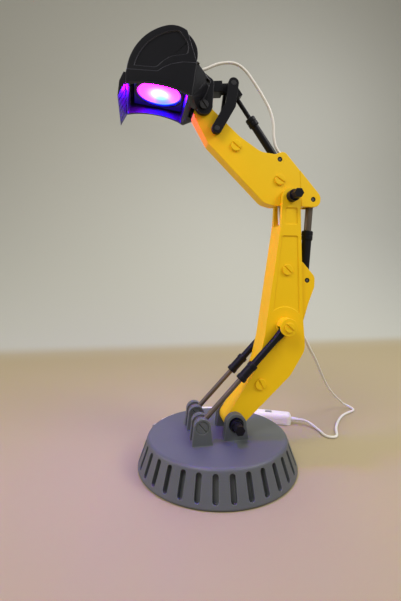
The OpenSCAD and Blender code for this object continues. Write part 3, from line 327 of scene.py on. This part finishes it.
# Inline switch: two moulded ABS shells with a grey push button between two soft tapers on the cord.
# The shells meet in a seam round the middle, and the button stands a little proud of its window.
WELD_MM = 0.002
FLAT_TURN = math.radians(1)
EDGE_TURN = math.radians(28)
body_of = {node: body for body, nodes in frame["record"]["behaviour"]["bodies"].items() for node in nodes}


def finished(node, edge_mm, material, steps=2, cut=False):
    """Stands a copy of a CAD node, with its edges rounded, in the node's place. A piece whose sides have
    many corners is cut in triangles first, because the rounding would fold its large faces."""
    shape = bmesh.new()
    shape.from_mesh(frame["nodes"][node].data)
    bmesh.ops.remove_doubles(shape, verts=shape.verts, dist=WELD_MM * MM)
    bmesh.ops.dissolve_limit(shape, angle_limit=FLAT_TURN, verts=shape.verts, edges=shape.edges)
    if cut:
        bmesh.ops.triangulate(shape, faces=shape.faces)
    for face in shape.faces:
        face.smooth = True
    mesh = bpy.data.meshes.new(node + "_blank")
    shape.to_mesh(mesh)
    shape.free()
    blank = bpy.data.objects.new(node + "_blank", mesh)
    scene.collection.objects.link(blank)
    edge = blank.modifiers.new("edge", "BEVEL")
    edge.width = edge_mm * MM
    edge.segments = steps
    edge.limit_method = "ANGLE"
    edge.angle_limit = EDGE_TURN
    edge.use_clamp_overlap = False
    flat = blank.modifiers.new("flat", "WEIGHTED_NORMAL")
    flat.keep_sharp = True
    depsgraph = bpy.context.evaluated_depsgraph_get()
    made = bpy.data.meshes.new_from_object(blank.evaluated_get(depsgraph), depsgraph=depsgraph)
    bpy.data.objects.remove(blank)
    made.materials.clear()
    made.materials.append(material)
    piece = bpy.data.objects.new(node + "_finished", made)
    scene.collection.objects.link(piece)
    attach(piece, body_of[node])
    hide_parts(node)
    return piece


# Moulded ABS: a fine spark-eroded grain and a low gloss
abs_white = plastic("moulded_abs_white", "#f2efe9", "#e6e2da", roughness=0.38, cloud_mm=25, grain_mm=0.6,
                    grain_depth_mm=0.015)
abs_grey = plastic("moulded_abs_grey", "#9b9b98", "#8a8a88", roughness=0.42, cloud_mm=10, grain_mm=0.6,
                   grain_depth_mm=0.015)
switch_pieces = [finished("switch_base", 0.3, abs_white), finished("switch_cover", 0.8, abs_white, 3),
                 finished("switch_button", 0.4, abs_grey), frame["nodes"]["switch_reliefs"]]
frame["nodes"]["switch_reliefs"].material_slots[0].material = pvc_white

# Plug: a moulded grip over a folded steel shell, with a tongue inside. It lies at the end of the
# put-away cord.
ROLLED_MM = 0.3
# Rolled and plated sheet: a faint cloudiness that breaks up the reflections
steel, tree, place = bare("nickel_plated_steel")
rolled = add(tree, "ShaderNodeTexNoise", {"Scale": 1 / (ROLLED_MM * MM), "Detail": 2.0}, {"Vector": place})
sheen = add(tree, "ShaderNodeMapRange", {"To Min": 0.22, "To Max": 0.40}, {"Value": rolled.outputs["Fac"]})
surface = add(tree, "ShaderNodeBsdfPrincipled", {"Base Color": linear("#c3c5c8"), "Metallic": 1.0},
              {"Roughness": sheen.outputs["Result"]})
add(tree, "ShaderNodeOutputMaterial", (), {"Surface": surface.outputs["BSDF"]})
plug_pieces = [finished("plug_body", 0.7, abs_white), finished("plug_shell", 0.12, steel),
               finished("plug_tongue", 0.15, abs_white)]

# Base: a printed grey housing with grooves all round its side, two ears for the boom and two clevises
# for the cylinder rods; a cover with a rubber pad closes it from below. Printed upright in 0.2 mm
# layers, which are drawn 1 mm apart here so that they show, with a painted highlight along the edges.
pla_grey = plastic("printed_pla_grey", "#5a5f62", "#4f5457", roughness=0.46, cloud_mm=35, grain_mm=0.9,
                   grain_depth_mm=0.02, layer="Z", layer_mm=1.0, layer_depth_mm=0.035, painted_highlight="#7d8384")
finished("base_housing", 0.35, pla_grey)
finished("base_cover", 0.35, pla_grey)
finished("rod_pin_screws", 0.15, pla_grey)
# Moulded rubber: matt, with a coarse non-slip grain
rubber = plastic("moulded_rubber_black", "#232325", "#1a1a1c", roughness=0.72, cloud_mm=12, grain_mm=1.4,
                 grain_depth_mm=0.12)
finished("grip_pad", 0.3, rubber)
finished("cover_screws", 0.12, steel)

# Large pivot bolts and nuts: printed black, with six-sided grips, one pair at the boom's foot and one
# pair at the fork. The same black print makes the cylinders, the linkage and the bucket: a black with a
# low gloss and a slight painted blue cast from the lamp's blue light, whose 0.2 mm layers are drawn 1 mm
# apart.
BLACK_PRINT = {"light": "#13141b", "dark": "#0e0f14", "roughness": 0.38, "cloud_mm": 30, "grain_mm": 0.9,
               "grain_depth_mm": 0.02, "layer": "Z", "layer_mm": 1.0, "layer_depth_mm": 0.02, "shine": 0.18}
pla_black = plastic("printed_pla_black", **BLACK_PRINT)
for node in ("boom_pivot_bolt", "boom_pivot_nut", "stick_pivot_bolt", "stick_pivot_nut"):
    finished(node, 0.3, pla_black)

# Boom: two printed yellow halves, joined by two slotted screws, with bosses for the cylinder barrels,
# a lug behind and a fork on top. Printed lying on the joint, so the sides show the last layer's lines,
# laid slantwise 0.4 mm apart and drawn 1.1 mm apart here.
pla_yellow = plastic("printed_pla_yellow", "#f5cb13", "#eec10e", roughness=0.44, cloud_mm=45, grain_mm=0.9,
                     grain_depth_mm=0.02, layer="X", layer_mm=1.1, layer_depth_mm=0.02, turn=(0, 45, 0),
                     shine=0.22)
for node in ("boom_near", "boom_far"):
    finished(node, 0.4, pla_yellow)
for node in ("boom_screws", "barrel_pin_screws"):
    finished(node, 0.45, pla_yellow)
# Pins: black, with a paler grey spot sunk in each end
pin_spot = plastic("printed_pla_spot_grey", "#5a5652", "#4a4744", roughness=0.40, cloud_mm=3, grain_mm=0.8,
                   grain_depth_mm=0.02)
PIN_RIM = 1.0
PIN_SINK = 0.4
PIN_END = 0.01


def pin(node):
    """A finished pin whose two ends are sunk inside a rim."""
    mesh = finished(node, 0.2, pla_black).data
    mesh.materials.append(pin_spot)
    shape = bmesh.new()
    shape.from_mesh(mesh)
    far = max(abs(face.calc_center_median().y) for face in shape.faces)
    ends = [face for face in shape.faces if abs(face.calc_center_median().y) > far - PIN_END * MM]
    bmesh.ops.inset_region(shape, faces=ends, thickness=PIN_RIM * MM, depth=-PIN_SINK * MM,
                           use_even_offset=True)
    for face in ends:
        face.material_index = 1
    shape.to_mesh(mesh)
    shape.free()


pin("boom_lug_pin")

# Boom cylinders: on each side a black barrel with a collar, and a grey rod that slides in it.
# The rods are printed in silk filament, which has a soft metallic sheen.
rod_grey = plastic("printed_silk_pla_grey", "#6f655a", "#5e554b", roughness=0.30, cloud_mm=20, grain_mm=0.8,
                   grain_depth_mm=0.02, layer="Z", layer_mm=1.0, layer_depth_mm=0.02)
rod_grey.node_tree.nodes["Principled BSDF"].inputs["Metallic"].default_value = 0.6
for side_name in ("near", "far"):
    finished("boom_barrel_" + side_name, 0.25, pla_black)
    finished("boom_gland_" + side_name, 0.25, pla_black)
    finished("boom_rod_" + side_name, 0.25, rod_grey)

# Stick cylinder behind the boom: a black barrel and collar on the boom's lug, and a grey rod that
# pulls at the stick's tail
finished("stick_barrel", 0.25, pla_black)
finished("stick_gland", 0.25, pla_black)
finished("stick_rod", 0.25, rod_grey)

# Stick: two yellow halves on the fork's bolt, joined by two slotted screws, with a cheeked tail.
# Its pins hold the stick cylinder's rod and the bucket cylinder's barrel.
for node in ("stick_near", "stick_far"):
    finished(node, 0.4, pla_yellow)
finished("stick_screws", 0.45, pla_yellow)
for node in ("stick_tail_pin", "bucket_barrel_pin"):
    pin(node)

# Bucket cylinder and linkage: a thin barrel along the top of the stick pushes two bent rockers, and a
# short link carries their motion to the bucket
for node in ("bucket_barrel", "bucket_gland", "bucket_rod", "rocker_near", "rocker_far", "bucket_link"):
    finished(node, 0.3, pla_black)
# Pins of the linkage: a greyer black with a little more gloss
pin_dark = plastic("printed_pla_pin_dark", "#2b2c31", "#232428", roughness=0.34, cloud_mm=10, grain_mm=0.8,
                   grain_depth_mm=0.02)
for node in ("rocker_pin", "rocker_top_pin", "bucket_link_pin", "bucket_pin"):
    finished(node, 0.15, pin_dark)

# Bucket: a printed black shell with sunk side panels, a stepped rear edge and two hinge ears, with a
# painted highlight along its edges; a lip with six grooved teeth closes its front edge
pla_painted_highlight = plastic("printed_pla_black_painted_highlight", painted_highlight="#70707e", **BLACK_PRINT)
finished("bucket_shell", 0.45, pla_painted_highlight, cut=True)
finished("bucket_lip", 0.25, pla_black)

# Light: a milky polycarbonate disc with a ring of coloured chips behind it, in a black cup on a plate.
# The chips are too bright for the eye: white in the middle, magenta to the rim, blue to the far side.
# Places on the disc are given in shares of its radius.
LIGHT_AT = Vector((-0.0590, 0, 0.3724))
LIGHT_TILT = math.radians(6.3)
LIGHT_R = 0.0220
GLOW = 260.0
# Distance from the middle, and the red and green beside a full blue
GLOW_BANDS = [(0.0, 0.20, 0.016), (0.25, 0.20, 0.0040), (0.42, 0.30, 0.0014), (0.58, 0.45, 0.0006),
              (0.74, 0.75, 0.0004), (0.88, 0.95, 0.0004), (0.93, 1.0, 0.003), (1.0, 1.0, 0.02)]
BLUE_AT = (0.30, 0.85, 0.0)
BLUE_REACH = 1.7
RED_LEFT = 0.0014
GREEN_MORE = 4.0
RIM_FROM = 0.88
RIM_LEFT = 0.002
# Printed black plate with a painted glow: a faint deep blue emission stands in for the chips' light falling
# round the disc
pla_painted_glow = plastic("printed_pla_painted_glow", "#15161d", "#101116", roughness=0.38, cloud_mm=30,
                          grain_mm=0.9, grain_depth_mm=0.02)
glowing = pla_painted_glow.node_tree.nodes["Principled BSDF"].inputs
glowing["Emission Color"].default_value = linear("#0e015b")
glowing["Emission Strength"].default_value = 1.0
finished("lamp_plate", 0.3, pla_painted_glow)
finished("lamp_cup", 0.2, pla_black)
finished("lamp_board", 0.1, abs_white)
# Opal polycarbonate: smooth and milky, here lit from behind
lit, tree, place = bare("opal_polycarbonate_lit")
centred = add(tree, "ShaderNodeMapping", {"Location": LIGHT_AT, "Rotation": (0, LIGHT_TILT, 0),
                                          "Scale": (LIGHT_R,) * 3},
              {"Vector": place}, vector_type="TEXTURE")
reach = add(tree, "ShaderNodeVectorMath", (), {0: centred.outputs["Vector"]}, operation="LENGTH")
rim_colour = add(tree, "ShaderNodeValToRGB", (), {"Fac": reach.outputs["Value"]})
bands = rim_colour.color_ramp.elements
for distance, red, green in GLOW_BANDS[1:-1]:
    bands.new(distance)
for band, (distance, red, green) in zip(bands, GLOW_BANDS):
    band.color = (red, green, 1.0, 1.0)
# Towards the blue chip red fades and green rises by powers, so that the clipped middle melts into it
blue_spot = add(tree, "ShaderNodeVectorMath", {1: BLUE_AT}, {0: centred.outputs["Vector"]},
                operation="DISTANCE")
blue_share = add(tree, "ShaderNodeMapRange",
                 {"From Min": 0.0, "From Max": BLUE_REACH, "To Min": 1.0, "To Max": 0.0},
                 {"Value": blue_spot.outputs["Value"]}, interpolation_type="SMOOTHSTEP")
red_left = add(tree, "ShaderNodeMath", {0: RED_LEFT}, {1: blue_share.outputs["Result"]}, operation="POWER")
green_more = add(tree, "ShaderNodeMath", {0: GREEN_MORE}, {1: blue_share.outputs["Result"]},
                 operation="POWER")
kept = add(tree, "ShaderNodeCombineXYZ", {"Z": 1.0},
           {"X": red_left.outputs["Value"], "Y": green_more.outputs["Value"]})
hue = add(tree, "ShaderNodeVectorMath", (), {0: rim_colour.outputs["Color"], 1: kept.outputs["Vector"]},
          operation="MULTIPLY")
# The cup shades the disc's rim, where the light fades by a power too
rim_share = add(tree, "ShaderNodeMapRange", {"From Min": RIM_FROM, "From Max": 1.0},
                {"Value": reach.outputs["Value"]})
faded = add(tree, "ShaderNodeMath", {0: RIM_LEFT}, {1: rim_share.outputs["Result"]}, operation="POWER")
dimmed = add(tree, "ShaderNodeVectorMath", (), {0: hue.outputs["Vector"], "Scale": faded.outputs["Value"]},
             operation="SCALE")
surface = add(tree, "ShaderNodeBsdfPrincipled", {"Base Color": linear("#3a383d"), "Roughness": 0.3,
                                                 "IOR": 1.58, "Emission Strength": GLOW},
              {"Emission Color": dimmed.outputs["Vector"]})
add(tree, "ShaderNodeOutputMaterial", (), {"Surface": surface.outputs["BSDF"]})
finished("lamp_diffuser", 0.3, lit)

# Studio: a plain pale sweep of painted board, a soft key from the upper left and a fill from the
# right, with weaker lamps from the left, from behind and on the wall
FLOOR_HALF = 6.0
FLOOR_FRONT = -5.0
BEND_AT = 0.47
BEND_R = 0.8
BEND_STEP = 6
WALL_TOP = 4.0
PAINT_RISE = 0.015
LAMP_AIM = (0.03, 0, 0.2)
bend = [math.radians(turn) for turn in range(0, 91, BEND_STEP)]
profile = [(FLOOR_FRONT, 0.0)]
profile += [(BEND_AT + BEND_R * math.sin(a), BEND_R - BEND_R * math.cos(a)) for a in bend]
profile.append((BEND_AT + BEND_R, WALL_TOP))
sweep = bpy.data.meshes.new("studio_sweep")
sweep.from_pydata([(x, y, z) for y, z in profile for x in (-FLOOR_HALF, FLOOR_HALF)], [],
                  [(2 * i, 2 * i + 1, 2 * i + 3, 2 * i + 2) for i in range(len(profile) - 1)])
for face in sweep.polygons:
    face.use_smooth = True
floor = bpy.data.objects.new("studio_sweep", sweep)
scene.collection.objects.link(floor)
# Matt paint: warm on the floor, a greyer tone up the wall
board, tree, place = bare("painted_board_pale")
height = add(tree, "ShaderNodeSeparateXYZ", (), {"Vector": place})
wall_share = add(tree, "ShaderNodeMapRange", {"From Max": PAINT_RISE}, {"Value": height.outputs["Z"]},
                 interpolation_type="SMOOTHSTEP")
paint = add(tree, "ShaderNodeMix", {6: linear("#aa9c7b"), 7: linear("#babbb2")},
            {0: wall_share.outputs["Result"]}, data_type="RGBA")
surface = add(tree, "ShaderNodeBsdfPrincipled", {"Roughness": 0.7}, {"Base Color": paint.outputs[2]})
add(tree, "ShaderNodeOutputMaterial", (), {"Surface": surface.outputs["BSDF"]})
floor.data.materials.append(board)


def softbox(name, place_at, aim_at, size, watts, colour):
    """A square lamp at a place, turned to the point it lights."""
    lamp_data = bpy.data.lights.new(name, "AREA")
    lamp_data.size = size
    lamp_data.energy = watts
    lamp_data.color = linear(colour)[:3]
    lamp = bpy.data.objects.new(name, lamp_data)
    lamp.location = place_at
    lamp.rotation_euler = (Vector(aim_at) - Vector(place_at)).to_track_quat("-Z", "Y").to_euler()
    scene.collection.objects.link(lamp)


softbox("key", (-0.60, -0.60, 1.20), LAMP_AIM, size=0.5, watts=7.6, colour="#fff8f0")
softbox("left", (-0.95, 0.10, 0.45), LAMP_AIM, size=0.6, watts=3.0, colour="#fff6ec")
softbox("fill", (0.85, -0.55, 0.95), LAMP_AIM, size=0.4, watts=7.4, colour="#fbf8f4")
softbox("wall", (0.75, 0.35, 1.00), (0.55, 1.2, 0.55), size=0.5, watts=3.6, colour="#f6f7ff")
softbox("back", (0.4, 0.55, 1.1), (0.03, 0, 0.25), size=0.7, watts=3.5, colour="#fffaf2")
world = bpy.data.worlds.new("studio")
world.use_nodes = True
sky = world.node_tree.nodes["Background"]
sky.inputs["Color"].default_value = linear("#f3f0ec")
sky.inputs["Strength"].default_value = 0.45
scene.world = world
